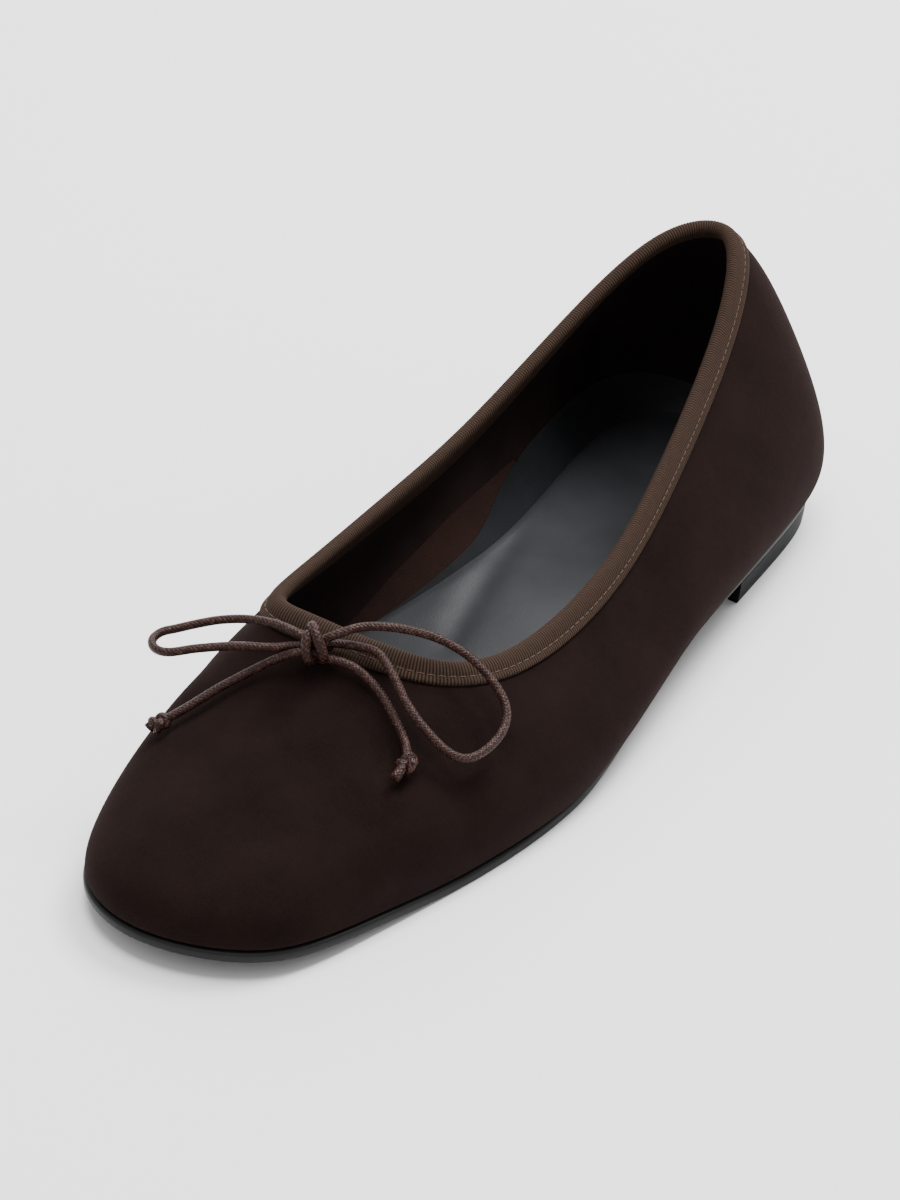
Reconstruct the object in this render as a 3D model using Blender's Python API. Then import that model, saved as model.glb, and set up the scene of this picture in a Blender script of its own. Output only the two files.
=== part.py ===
"""Ballet flat, left foot: one hollow suede upper on a thin sole with a low heel.

Metres, +Z up. The toe points to -Y and the outer side of the foot is +X.
Distances along the foot run from the back of the heel to the toe.
"""
import math

import bmesh
import bpy
import numpy as np
from mathutils import Vector

# Driving sizes
LENGTH = 0.248            # feather line, back of the heel to the toe
BALL_WIDTH = 0.085        # feather line at the joints of the toes
BACK_HEIGHT = 0.074       # cut edge of the collar at the back of the heel, above the floor
HEEL_RISE = 0.0068        # underside of the sole at the heel seat, above the floor
HEEL_LENGTH = 0.0575      # back of the heel to its breast
FOOT_PULL = 0.073         # share of LENGTH over which a section keeps its lean at the foot

# Thicknesses and gaps
GAP = 0.0003              # left between pieces that touch
WALL = 0.0014             # suede of the upper
SOLE_THICK = 0.0022
SOLE_PROUD = 0.0004       # edge of the sole outside the feather line, at the toes
FEATHER_ROUND = 0.0018    # radius where the upper turns under
MARGIN = 0.008            # upper turned under between sole and insole
INSOLE_THICK = 0.0024
INSOLE_CUP = 0.0010       # rise of the insole at its edge
TAPE_OUTSIDE = 0.0047     # binding down the outside of the collar
TAPE_INSIDE = 0.0046      # binding down the inside
TAPE_THICK = 0.0006
TAPE_BULGE = 0.0011       # binding over the drawstring, out from the suede
TAPE_RISE = 0.0015        # binding above the cut edge of the collar
BREAST_HOLLOW = 0.0030    # curve of the heel's front face
EDGE_ROUND = 0.0005       # corner of the sole, heel and insole
HEEL_TAPER = 0.0009
CORD = 0.0020             # drawstring

# Mesh density
COLUMNS = 80              # sections round the shoe
WALL_STEPS = 9            # faces up each section
ROUND_STEPS = 3
ACROSS = 6                # faces across the sole and insole

# Sections round the shoe, from the toe over the outer side to the heel and back
# foot_along, top_along, top_pull: shares of LENGTH; foot_out, top_out: shares of BALL_WIDTH,
# outer side +; top_up: share of BACK_HEIGHT; foot_lean, top_lean: degrees from level
SECTION_COLUMNS = ("foot_along", "foot_out", "top_along", "top_out", "top_up",
                   "foot_lean", "top_lean", "top_pull")
SECTIONS = {
    "toe": (1.004, -0.040, 0.688, -0.043, 0.547, 90, 30, 0.161),
    "toe outer": (0.968, 0.240, 0.681, 0.086, 0.522, 88, 29, 0.153),
    "little toe": (0.861, 0.379, 0.658, 0.215, 0.485, 84, 31, 0.113),
    "ball outer": (0.665, 0.510, 0.584, 0.304, 0.450, 70, 43, 0.057),
    "waist front outer": (0.505, 0.502, 0.459, 0.322, 0.478, 58, 65, 0.059),
    "waist outer": (0.341, 0.432, 0.331, 0.277, 0.577, 49, 64, 0.067),
    "heel front outer": (0.141, 0.380, 0.174, 0.188, 0.779, 54, 55, 0.074),
    "heel corner outer": (0.029, 0.288, 0.081, 0.100, 0.948, 60, 43, 0.073),
    "heel": (0.000, 0.012, 0.048, -0.010, 0.997, 63, 33, 0.081),
    "heel corner inner": (0.037, -0.253, 0.082, -0.140, 0.961, 64, 40, 0.073),
    "heel front inner": (0.153, -0.305, 0.177, -0.247, 0.804, 69, 57, 0.073),
    "waist inner": (0.355, -0.245, 0.333, -0.305, 0.626, 62, 75, 0.065),
    "waist front inner": (0.524, -0.372, 0.464, -0.335, 0.551, 71, 77, 0.056),
    "ball inner": (0.710, -0.484, 0.601, -0.337, 0.532, 93, 58, 0.056),
    "big toe": (0.881, -0.434, 0.679, -0.287, 0.563, 96, 46, 0.108),
    "toe inner": (0.973, -0.291, 0.692, -0.170, 0.569, 91, 37, 0.153),
}

# Underside of the sole: distance along (share of LENGTH), height (share of HEEL_RISE)
SOLE_COLUMNS = ("along", "height")
SOLE_CURVE = {
    "heel back": (0.00, 1.02),
    "heel breast": (0.25, 0.95),
    "arch": (0.36, 0.97),
    "arch front": (0.52, 0.34),
    "tread back": (0.62, 0.00),
    "tread front": (0.75, 0.00),
    "toe roll": (0.86, 0.26),
    "toe": (1.01, 0.78),
}

# Edge of the sole: distance along (share of LENGTH), outside the feather line (share of SOLE_PROUD)
EDGE_COLUMNS = ("along", "proud")
SOLE_EDGE = {
    "heel back": (0.00, -0.5),
    "heel breast": (0.25, -1.0),
    "waist": (0.40, -2.5),
    "ball back": (0.60, -1.0),
    "ball": (0.75, 1.0),
    "toe": (1.01, 1.0),
}

# Drawstring routes: outward from the middle, distance along, height
KNOT_PLACE = (-0.0065, 0.1796, 0.0423)
CORD_ROUTES = {
    "bow_loop_outer": [
        KNOT_PLACE, (-0.0022, 0.1766, 0.0447), (0.0022, 0.1724, 0.0458),
        (0.0095, 0.1685, 0.0456), (0.0172, 0.1646, 0.0432), (0.0250, 0.1635, 0.0398),
        (0.0330, 0.1655, 0.0353), (0.0368, 0.1693, 0.0320), (0.0376, 0.1755, 0.0298),
        (0.0360, 0.1820, 0.0290), (0.0323, 0.1845, 0.0300), (0.0257, 0.1838, 0.0330),
        (0.0193, 0.1817, 0.0364), (0.0124, 0.1775, 0.0400), (0.0062, 0.1745, 0.0418),
        (-0.0023, 0.1752, 0.0412), KNOT_PLACE],
    "bow_loop_inner": [
        KNOT_PLACE, (-0.0126, 0.1797, 0.0437), (-0.0182, 0.1798, 0.0438),
        (-0.0242, 0.1808, 0.0432), (-0.0296, 0.1830, 0.0423), (-0.0340, 0.1857, 0.0412),
        (-0.0376, 0.1884, 0.0402), (-0.0400, 0.1910, 0.0398), (-0.0400, 0.1944, 0.0396),
        (-0.0375, 0.1968, 0.0395), (-0.0339, 0.1966, 0.0397), (-0.0288, 0.1930, 0.0405),
        (-0.0223, 0.1884, 0.0409), (-0.0155, 0.1845, 0.0408), (-0.0118, 0.1818, 0.0409), KNOT_PLACE],
    "bow_end_outer": [
        (-0.0080, 0.1806, 0.0396), (-0.0025, 0.1796, 0.0396), (0.0030, 0.1786, 0.0389),
        (0.0090, 0.1794, 0.0366), (0.0154, 0.1824, 0.0336), (0.0220, 0.1870, 0.0306),
        (0.0256, 0.1917, 0.0294)],
    "bow_end_inner": [
        (-0.0062, 0.1820, 0.0416), (-0.0098, 0.1835, 0.0407), (-0.0140, 0.1850, 0.0382),
        (-0.0185, 0.1877, 0.0351), (-0.0233, 0.1932, 0.0320), (-0.0273, 0.1995, 0.0291),
        (-0.0311, 0.2049, 0.0266)],
}

# Knots: place as above, then half sizes across, along and up
KNOTS = {
    "bow_knot": (KNOT_PLACE, (0.0038, 0.0034, 0.0040)),
    "bow_end_knot_outer": ((0.0256, 0.1917, 0.0294), (0.0025, 0.0025, 0.0024)),
    "bow_end_knot_inner": ((-0.0311, 0.2049, 0.0266), (0.0025, 0.0025, 0.0024)),
}


def column(name):
    """One named column of SECTIONS, in metres or degrees."""
    at = SECTION_COLUMNS.index(name)
    return np.array([row[at] for row in SECTIONS.values()], float)


def closed_curve(rows, count):
    """Smooth closed curve through evenly spaced rows, read at count places."""
    rows = np.asarray(rows, float)
    size = len(rows)
    one = np.eye(size)
    band = 4 * one + np.roll(one, 1, 0) + np.roll(one, -1, 0)
    bend = np.linalg.solve(band, 6 * (np.roll(rows, -1, 0) - 2 * rows + np.roll(rows, 1, 0)))
    place = np.arange(count) * size / count
    low = place.astype(int)
    part = (place - low)[:, None] if rows.ndim > 1 else place - low
    rest = 1 - part
    high = (low + 1) % size
    return (rest * rows[low] + part * rows[high]
            + ((rest**3 - rest) * bend[low] + (part**3 - part) * bend[high]) / 6)


def eased(table, share):
    """Curve through the table's points that never overshoots them."""
    xs = np.array([row[0] for row in table])
    ys = np.array([row[1] for row in table])
    step = np.diff(xs)
    slope = np.diff(ys) / step
    lean = np.zeros(len(xs))
    lean[0], lean[-1] = slope[0], slope[-1]
    for i in range(1, len(xs) - 1):
        if slope[i - 1] * slope[i] > 0:
            before, after = 2 * step[i] + step[i - 1], step[i] + 2 * step[i - 1]
            lean[i] = (before + after) / (before / slope[i - 1] + after / slope[i])
    share = np.clip(share, xs[0], xs[-1])
    k = np.clip(np.searchsorted(xs, share, side="right") - 1, 0, len(xs) - 2)
    t = (share - xs[k]) / step[k]
    return (ys[k] * (1 + 2 * t) * (1 - t)**2 + ys[k + 1] * t * t * (3 - 2 * t)
            + step[k] * t * (1 - t) * (lean[k] * (1 - t) - lean[k + 1] * t))


def sole_under(along):
    """Height of the sole's underside."""
    return HEEL_RISE * eased(list(SOLE_CURVE.values()), np.asarray(along) / LENGTH)


def sole_top(along):
    return sole_under(along) + SOLE_THICK


def unit(vectors):
    return vectors / np.linalg.norm(vectors, axis=-1, keepdims=True)


def outward(ring):
    """Level outward normals of a closed ring seen from above."""
    along = np.roll(ring, -1, 0) - np.roll(ring, 1, 0)
    side = np.stack([-along[:, 1], along[:, 0], 0 * along[:, 0]], 1)
    middle = ring.mean(0)
    turned = np.sign(((ring - middle) * side).sum())
    return unit(side) * turned


def drop(points, height):
    """The points at a height above the sole's top."""
    points = points.copy()
    points[:, 2] = sole_top(-points[:, 1]) + height
    return points


def feather(count):
    """Ring of the feather line, on the sole's top, and its outward normals."""
    along = closed_curve(column("foot_along"), count) * LENGTH
    out = closed_curve(column("foot_out"), count) * BALL_WIDTH
    ring = np.stack([out, -along, sole_top(along)], 1)
    return ring, outward(ring)


def sole_edge(foot, side):
    """Edge of the sole seen from above: it stands out at the toes and is set in at the waist."""
    proud = SOLE_PROUD * eased(list(SOLE_EDGE.values()), -foot[:, 1] / LENGTH)
    return foot + side * proud[:, None]


def upper_grid(count, steps):
    """Outside of the upper as rows from the turned margin up to the collar, and its normals."""
    foot, side = feather(count)
    top = np.stack([closed_curve(column("top_out"), count) * BALL_WIDTH,
                    -closed_curve(column("top_along"), count) * LENGTH,
                    closed_curve(column("top_up"), count) * BACK_HEIGHT], 1)
    top_side = outward(top)
    lean = np.radians(closed_curve(column("foot_lean"), count))[:, None]
    fall = np.radians(closed_curve(column("top_lean"), count))[:, None]
    pull = closed_curve(column("top_pull"), count)[:, None] * LENGTH
    up = np.array([0.0, 0.0, 1.0])
    corner = drop(foot, GAP)
    rise = np.sin(lean) * up + np.cos(lean) * side
    start = corner + rise * FEATHER_ROUND
    under = drop(corner - side * FEATHER_ROUND, GAP)
    rows = [drop(corner - side * (FEATHER_ROUND + MARGIN), GAP), under]
    for k in range(1, ROUND_STEPS):
        t = k / ROUND_STEPS
        rows.append((1 - t)**2 * under + 2 * t * (1 - t) * corner + t * t * start)
    first = start + rise * (FOOT_PULL * LENGTH - FEATHER_ROUND)
    last = top + pull * (np.cos(fall) * top_side - np.sin(fall) * up)
    for t in np.linspace(0, 1, steps + 1):
        rows.append((1 - t)**3 * start + 3 * t * (1 - t)**2 * first
                    + 3 * t * t * (1 - t) * last + t**3 * top)
    grid = np.array(rows)
    return grid, grid_normals(grid)


def grid_normals(grid):
    """Outward normals of the upper's grid. The two margin rows face down."""
    ahead = np.zeros_like(grid)
    back = np.diff(grid, axis=0)
    weight = 1 / (back**2).sum(-1, keepdims=True)
    ahead[:-1] += back * weight
    ahead[1:] += back * weight
    round_way = np.roll(grid, -1, 1) - np.roll(grid, 1, 1)
    normals = unit(np.cross(ahead, round_way))
    _, side = feather(grid.shape[1])
    if (normals[-1] * side).sum() < 0:
        normals = -normals
    normals[:2] = (0.0, 0.0, -1.0)
    return normals


def along_rows(rows, distance):
    """Points a distance down from the last row, measured along each section."""
    found = np.empty_like(rows[-1])
    for j in range(rows.shape[1]):
        line = rows[::-1, j]
        run = np.concatenate([[0], np.cumsum(np.linalg.norm(np.diff(line, axis=0), axis=1))])
        for k in range(3):
            found[j, k] = np.interp(distance, run, line[:, k])
    return found


def solid_of_rings(name, rings, material, closed=False, ends=None):
    """Solid from a loop of rings, or from rings capped by the ends' ladders."""
    bm = bmesh.new()
    loops = [[bm.verts.new(p) for p in ring] for ring in rings]
    pairs = list(zip(loops, loops[1:] + ([loops[0]] if closed else [])))
    for a, b in pairs[:len(loops) if closed else len(loops) - 1]:
        for i in range(len(a)):
            j = (i + 1) % len(a)
            bm.faces.new((a[i], a[j], b[j], b[i]))
    if ends:
        ladder(bm, loops[0], ends[0])
        ladder(bm, loops[-1], ends[1])
    return finish(name, bm, material)


def ladder(bm, loop, height):
    """Fills a ring with strips across the foot, each point at height(x, y, share)."""
    half = len(loop) // 2
    before = [loop[0]]
    for i in range(1, half):
        left, right = loop[i], loop[-i]
        row = [left]
        for k in range(1, ACROSS):
            share = k / ACROSS
            point = left.co.lerp(right.co, share)
            point.z = height(point, share)
            row.append(bm.verts.new(point))
        row.append(right)
        strip(bm, before, row)
        before = row
    strip(bm, before, [loop[half]])


def strip(bm, a, b):
    """Faces between two rows, either of which may be one point."""
    if len(a) == 1:
        for k in range(len(b) - 1):
            bm.faces.new((a[0], b[k + 1], b[k]))
    elif len(b) == 1:
        for k in range(len(a) - 1):
            bm.faces.new((b[0], a[k], a[k + 1]))
    else:
        for k in range(len(a) - 1):
            bm.faces.new((a[k], a[k + 1], b[k + 1], b[k]))


def finish(name, bm, material):
    """Object from the mesh, faces out, smooth but for its edges."""
    bmesh.ops.recalc_face_normals(bm, faces=bm.faces)
    mesh = bpy.data.meshes.new(name)
    bm.to_mesh(mesh)
    bm.free()
    mesh.shade_smooth()
    mesh.set_sharp_from_angle(angle=math.radians(40))
    mesh.materials.append(material)
    thing = bpy.data.objects.new(name, mesh)
    bpy.context.scene.collection.objects.link(thing)
    return thing


def material(name, colour, roughness, metallic=0.0):
    made = bpy.data.materials.new(name)
    made.use_nodes = True
    shader = made.node_tree.nodes["Principled BSDF"]
    shader.inputs["Base Color"].default_value = (*colour, 1.0)
    shader.inputs["Roughness"].default_value = roughness
    shader.inputs["Metallic"].default_value = metallic
    return made


def make_upper(paint):
    """Hollow suede shell, open at the collar and underneath."""
    outside, normals = upper_grid(COLUMNS, WALL_STEPS)
    inside = outside - normals * WALL
    return solid_of_rings("upper", list(outside) + list(inside[::-1]), paint, closed=True)


def make_binding(paint):
    """Tape folded over the collar, thicker along the top where the drawstring runs."""
    outside, normals = upper_grid(COLUMNS, WALL_STEPS * 2)
    inside = outside - normals * WALL
    top, face = outside[-1], normals[-1]
    climb = unit(outside[-1] - outside[-2])
    crest = top - face * (WALL / 2)

    def outer(distance, lift):
        return along_rows(outside, distance) + face_at(distance) * lift

    def inner(distance, lift):
        return along_rows(inside, distance) - face_at(distance) * lift

    def face_at(distance):
        return unit(along_rows(outside + normals, distance) - along_rows(outside, distance))

    over, far = GAP, GAP + TAPE_THICK
    rings = [outer(TAPE_OUTSIDE, over), outer(TAPE_OUTSIDE, far), outer(TAPE_OUTSIDE * 0.6, far),
             outer(TAPE_OUTSIDE * 0.35, TAPE_BULGE * 0.9), outer(TAPE_OUTSIDE * 0.12, TAPE_BULGE),
             top + face * TAPE_BULGE * 0.75 + climb * TAPE_RISE * 0.55,
             crest + face * TAPE_BULGE * 0.45 + climb * TAPE_RISE * 0.93,
             crest - face * TAPE_BULGE * 0.45 + climb * TAPE_RISE * 0.93,
             inside[-1] - face * TAPE_BULGE * 0.75 + climb * TAPE_RISE * 0.55,
             inner(TAPE_INSIDE * 0.15, TAPE_BULGE), inner(TAPE_INSIDE * 0.5, TAPE_BULGE * 0.85),
             inner(TAPE_INSIDE, far), inner(TAPE_INSIDE, over), inner(TAPE_INSIDE * 0.5, over),
             inside[-1] - face * over + climb * over, top + face * over + climb * over,
             outer(TAPE_OUTSIDE * 0.35, over), outer(TAPE_OUTSIDE * 0.7, over)]
    return solid_of_rings("collar_binding", rings, paint, closed=True)


def make_outsole(paint):
    """Thin sole that follows the arch, with a rounded edge."""
    foot, side = feather(COLUMNS)
    edge = sole_edge(foot, side)

    def ring(inset, down):
        points = drop(edge - side * inset, 0)
        points[:, 2] -= down
        return points

    def top(point, share):
        return float(sole_top(-point.y))

    def under(point, share):
        return float(sole_under(-point.y))

    rings = [ring(EDGE_ROUND, 0), ring(0, EDGE_ROUND),
             ring(0, SOLE_THICK - EDGE_ROUND), ring(EDGE_ROUND, SOLE_THICK)]
    rings[3][:, 2] = sole_under(-rings[3][:, 1])
    return solid_of_rings("outsole", rings, paint, ends=(top, under))


def make_insole(paint):
    """Padded sock on the turned margin, with a plug that fills the space inside the margin."""
    outside, normals = upper_grid(COLUMNS, WALL_STEPS * 2)
    inside = (outside - normals * WALL)[1:ROUND_STEPS + 8]
    foot, side = feather(COLUMNS)
    seat = 2 * GAP + WALL

    def wall_ring(height, inset):
        points = np.empty_like(foot)
        for j in range(COLUMNS):
            line = inside[:, j]
            above = line[:, 2] - sole_top(-line[:, 1])
            for k in range(3):
                points[j, k] = np.interp(height, above, line[:, k])
        return drop(points - side * inset, height)

    plug = FEATHER_ROUND + MARGIN + 2 * GAP

    def base(point, share):
        return float(sole_top(-point.y)) + GAP

    def padding(point, share):
        hollow = 1 - abs(2 * share - 1)**3
        return float(sole_top(-point.y)) + seat + INSOLE_THICK - INSOLE_CUP * hollow

    rings = [drop(foot - side * plug, GAP), drop(foot - side * plug, seat),
             wall_ring(seat, GAP + EDGE_ROUND), wall_ring(seat + EDGE_ROUND, GAP * 1.3),
             wall_ring(seat + INSOLE_THICK - EDGE_ROUND, GAP * 1.3),
             wall_ring(seat + INSOLE_THICK, GAP + EDGE_ROUND)]
    return solid_of_rings("insole", rings, paint, ends=(base, padding))


def make_heel(paint):
    """Low block under the heel seat, its front face hollowed a little."""
    foot, side = feather(COLUMNS)
    half = COLUMNS // 2
    depth = -foot[:, 1]
    foot = sole_edge(foot, side) - side * GAP

    def edge(step):
        """Foot-plan points from the back of the heel to the breast on one side."""
        chain = [half]
        while depth[(chain[-1] + step) % COLUMNS] < HEEL_LENGTH - BREAST_HOLLOW:
            chain.append((chain[-1] + step) % COLUMNS)
        ahead = (chain[-1] + step) % COLUMNS
        share = (HEEL_LENGTH - depth[chain[-1]]) / (depth[ahead] - depth[chain[-1]])
        points = [(foot[i], side[i]) for i in chain]
        last = foot[chain[-1]] * (1 - share) + foot[ahead] * share
        points.append((last, side[chain[-1]]))
        return points

    outer, inner = edge(-1), edge(1)
    steps = min(len(outer), len(inner))
    outer = outer[:steps - 1] + [outer[-1]]
    inner = inner[:steps - 1] + [inner[-1]]
    bm = bmesh.new()

    def layer(inset, height):
        rows = []
        for k in range(steps):
            left = outer[k][0] - outer[k][1] * inset
            right = inner[k][0] - inner[k][1] * inset
            if k == 0:
                pieces = [left]
            else:
                shares = np.linspace(0, 1, ACROSS + 1)[:, None]
                pieces = list(left * (1 - shares) + right * shares)
                hollow = BREAST_HOLLOW * (k / (steps - 1))**4
                for share, piece in zip(shares[:, 0], pieces):
                    piece[1] += hollow * (1 - (2 * share - 1)**2)
            for piece in pieces:
                piece[2] = height(piece)
            rows.append([bm.verts.new(p) for p in pieces])
        return rows

    layers = [layer(0, lambda p: float(sole_under(-p[1])) - GAP),
              layer(HEEL_TAPER, lambda p: EDGE_ROUND),
              layer(HEEL_TAPER + EDGE_ROUND, lambda p: 0.0)]
    for rows in (layers[0], layers[-1]):
        for a, b in zip(rows, rows[1:]):
            strip(bm, a, b)
    for upper, lower in zip(layers, layers[1:]):
        def rim(rows):
            return ([rows[0][0]] + [row[0] for row in rows[1:]] + rows[-1][1:-1]
                    + [row[-1] for row in rows[:0:-1]])
        a, b = rim(upper), rim(lower)
        for i in range(len(a)):
            j = (i + 1) % len(a)
            bm.faces.new((a[i], a[j], b[j], b[i]))
    return finish("heel", bm, paint)


def smooth_route(points, spacing):
    """Evenly spaced points along a smooth curve through the route's own points.

    The curve stops just short of the knots at its ends.
    """
    points = np.array(points, float)
    ends = np.vstack([2 * points[0] - points[1], points, 2 * points[-1] - points[-2]])
    dense = []
    for a, b, c, d in zip(ends, ends[1:], ends[2:], ends[3:]):
        for t in np.linspace(0, 1, 24, endpoint=False):
            dense.append(0.5 * (2 * b + (c - a) * t + (2 * a - 5 * b + 4 * c - d) * t * t
                                + (3 * b - a - 3 * c + d) * t**3))
    dense = np.array(dense + [points[-1]])
    for (x, along, z), size in KNOTS.values():
        reach = np.array(size) + 2 * GAP
        dense = dense[(((dense - (x, -along, z)) / reach)**2).sum(1) > 1]
    run = np.concatenate([[0], np.cumsum(np.linalg.norm(np.diff(dense, axis=0), axis=1))])
    marks = np.linspace(0, run[-1], max(2, round(run[-1] / spacing) + 1))
    return np.stack([np.interp(marks, run, dense[:, k]) for k in range(3)], 1)


def make_cord(name, route, paint):
    """Round cord along a route, its ends capped."""
    points = smooth_route([(x, -along, z) for x, along, z in route], CORD * 2.2)
    curve = bpy.data.curves.new(name, "CURVE")
    curve.dimensions = "3D"
    curve.bevel_depth = CORD / 2
    curve.bevel_resolution = 2
    curve.use_fill_caps = True
    spline = curve.splines.new("POLY")
    spline.points.add(len(points) - 1)
    for point, place in zip(spline.points, points):
        point.co = (*place, 1.0)
    curve.materials.append(paint)
    thing = bpy.data.objects.new(name, curve)
    bpy.context.scene.collection.objects.link(thing)
    return thing


def make_knot(name, place, size, paint):
    """Closed lump of a pulled knot: x, y, z half sizes about its place."""
    x, along, z = place
    bm = bmesh.new()
    bmesh.ops.create_uvsphere(bm, u_segments=14, v_segments=8, radius=1.0)
    for vert in bm.verts:
        vert.co = Vector((x + vert.co.x * size[0], -along + vert.co.y * size[1], z + vert.co.z * size[2]))
    return finish(name, bm, paint)


def main():
    for thing in list(bpy.data.objects):
        bpy.data.objects.remove(thing, do_unlink=True)
    suede = material("suede", (0.045, 0.026, 0.022), 0.95)
    tape = material("tape", (0.085, 0.048, 0.038), 0.85)
    sock = material("sock", (0.018, 0.018, 0.019), 0.45)
    sole = material("sole", (0.020, 0.020, 0.022), 0.45)
    block = material("heel_block", (0.016, 0.016, 0.018), 0.30)
    cord = material("cord", (0.075, 0.040, 0.032), 0.60)
    fixed = [make_outsole(sole), make_heel(block), make_upper(suede),
             make_insole(sock), make_binding(tape)]
    loose = [make_cord(name, route, cord) for name, route in CORD_ROUTES.items()]
    loose += [make_knot(name, place, size, cord) for name, (place, size) in KNOTS.items()]
    corners = np.array([v.co for thing in fixed for v in thing.data.vertices])
    low, high = corners.min(0), corners.max(0)
    shoe = bpy.data.objects.new("shoe", None)
    bpy.context.scene.collection.objects.link(shoe)
    shoe.location = (-(low[0] + high[0]) / 2, -(low[1] + high[1]) / 2, -low[2])
    for thing in fixed + loose:
        thing.parent = shoe


main()
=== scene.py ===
"""Ballet flat, left foot: dark brown suede, ribbed tape round the collar and an elastic cord bow.

Metres, +Z up. The toe points to -Y and the outer side of the foot is +X.
"""
import math

import bmesh
import bpy
import numpy as np
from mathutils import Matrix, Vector


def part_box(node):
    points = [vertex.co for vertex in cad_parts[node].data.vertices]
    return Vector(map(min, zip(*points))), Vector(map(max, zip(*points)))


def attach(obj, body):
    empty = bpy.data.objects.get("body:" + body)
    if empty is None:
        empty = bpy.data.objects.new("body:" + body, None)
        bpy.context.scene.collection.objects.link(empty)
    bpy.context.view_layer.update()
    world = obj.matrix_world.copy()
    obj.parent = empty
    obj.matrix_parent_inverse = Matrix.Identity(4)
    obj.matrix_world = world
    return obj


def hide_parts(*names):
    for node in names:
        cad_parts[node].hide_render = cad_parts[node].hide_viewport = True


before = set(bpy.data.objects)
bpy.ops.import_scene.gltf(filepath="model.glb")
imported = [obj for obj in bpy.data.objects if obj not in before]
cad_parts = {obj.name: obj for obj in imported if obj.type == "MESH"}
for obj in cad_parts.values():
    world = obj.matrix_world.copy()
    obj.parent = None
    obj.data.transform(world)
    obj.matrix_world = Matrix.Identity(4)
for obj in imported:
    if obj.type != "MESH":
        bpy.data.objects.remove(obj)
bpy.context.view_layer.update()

# Driving sizes
LENGTH = 0.248
BALL_WIDTH = 0.085
BACK_HEIGHT = 0.074
HEEL_RISE = 0.0068
HEEL_LENGTH = 0.0575
FOOT_PULL = 0.073

# Thicknesses and gaps
GAP = 0.0003
WALL = 0.0014
SOLE_THICK = 0.0022
SOLE_PROUD = 0.0004
FEATHER_ROUND = 0.0018
MARGIN = 0.008
INSOLE_THICK = 0.0024
INSOLE_CUP = 0.0010
BREAST_HOLLOW = 0.0030
HEEL_TAPER = 0.0009
EDGE_ROUND = 0.0005
EDGE_BREAK = 0.0001       # first small step of a rounded edge

# Tape, its seam and the drawstring
TAPE_OUTSIDE = 0.0044
TAPE_INSIDE = 0.0046
THROAT_WIDER = 0.30       # share by which the tape's outer face is wider at the throat
THROAT_SPREAD = 0.12      # how far that reaches, as a share of the way round
RIB = 0.00068             # width of one rib
RIB_DEPTH = 0.00007
STITCH = 0.0021           # length of one stitch
SEAM_DOWN = 0.0027        # the seam below the collar's cut edge
SEAM_LIFT = 0.00076       # the seam off the wall
THREAD = 0.00011          # radius of the seam's thread
STRAND = 0.0020           # diameter of the drawstring
BRAID = 0.0009            # pitch of the drawstring's braid
BRAID_TURNS = 7
KNOT_SIZE = 0.0017        # half width of a small knot's path
KNOT_RADIUS = STRAND * 0.52       # the cord in a small knot
TURN_RADIUS = STRAND * 0.60       # the cord in the bow knot's turns
CROSSING_RADIUS = STRAND * 0.66   # the strands under those turns
TAIL_FLARE = (0.95, 1.25)         # the cut tail's width at its root and its end, in cords
TAIL_LIFT = 0.0003

# Lifts of the skins off the inside of the wall, and the sock's dip under the heel
FLESH_LIFT = 0.00008
LINING_AND_SHADE_LIFT = 0.00020
SOCK_EDGE_LIFT = 0.00032
SOCK_DIP = 0.0004
SOCK_DIP_AT = 0.14        # from the heel, in lengths of the shoe
SOCK_DIP_SPREAD = 0.08

# Fineness of the meshes
CAD_COLUMNS = 80
CAD_STEPS = 9
CAD_ROUND = 3
COLUMNS = 360
WALL_STEPS = 40
ROUND = 6                 # steps round the feather line
SKIN_STEPS = 24
TAPE_STEPS = 22
TAPE_ROUND = 2
RIB_COLUMNS = 4
COLLAR_STEPS = 4000
ROUTE_STEPS = 24
ROUTE_SPACING = 0.0008
KNOT_SPACING = 0.0006
TAIL_SPACING = 0.0005
KNOT_STEPS = 72
TURN_STEPS = 56
BREAST_STEPS = 24
SOLE_ACROSS = 20
SOCK_ACROSS = 40
SOCK_WALL_ROWS = 14       # rows of the wall that the sock can reach

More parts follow.
